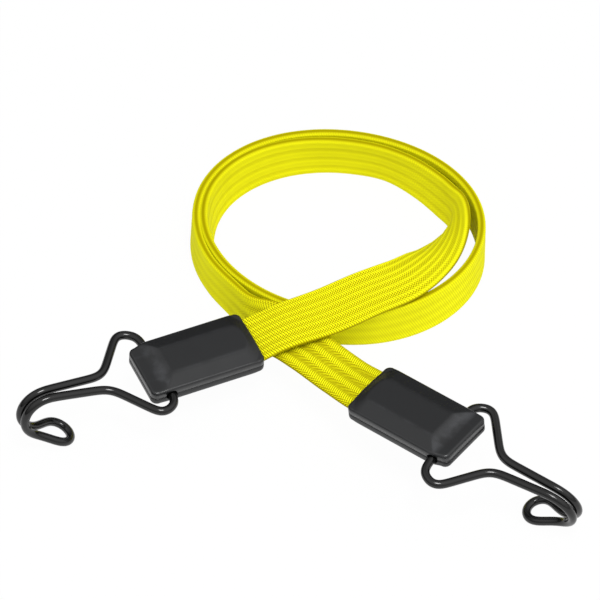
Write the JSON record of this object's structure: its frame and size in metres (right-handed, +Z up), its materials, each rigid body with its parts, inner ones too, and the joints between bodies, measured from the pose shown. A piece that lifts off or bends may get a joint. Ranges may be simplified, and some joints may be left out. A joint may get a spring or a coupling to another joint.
{
  "type": "flat bungee cord",
  "caption": "Flat woven elastic strap lying in two loops on its edge, with a moulded clamp and a swinging bent-wire double hook on each end, for tying down loads.",
  "frame": {"origin": "under the middle of the box around the clamps and hooks, on the surface that the cord lies on", "axes": "+X from the left hook to the right hook, +Y towards the loops, +Z up"},
  "size_m": [0.1774, 0.1674, 0.0271],
  "materials": {
    "woven_sleeve": "ribbed weave",
    "core_rubber": "matt",
    "clamp_plastic": "satin",
    "coated_wire": "gloss coating"
  },
  "bodies": {
    "strap_and_clamps": {"strap_sleeve": "woven_sleeve", "rubber_core_1": "core_rubber", "rubber_core_2": "core_rubber", "rubber_core_3": "core_rubber", "rubber_core_4": "core_rubber", "left_clamp_upper_shell": "clamp_plastic", "left_clamp_lower_shell": "clamp_plastic", "right_clamp_upper_shell": "clamp_plastic", "right_clamp_lower_shell": "clamp_plastic"},
    "left_hook": {"left_wire_hook": "coated_wire"},
    "right_hook": {"right_wire_hook": "coated_wire"}
  },
  "joints": [
    {"name": "left_hook_swing", "type": "hinge", "parent": "strap_and_clamps", "child": "left_hook", "pos_m": [-0.04401, 0.0175, 0.01715], "axis": [-0.4385, 0.8982, 0.0304], "range_deg": [-128, 146]},
    {"name": "right_hook_swing", "type": "hinge", "parent": "strap_and_clamps", "child": "right_hook", "pos_m": [0.04787, -0.01457, 0.02313], "axis": [-0.5333, -0.8455, -0.0253], "range_deg": [-123, 160]}
  ]
}
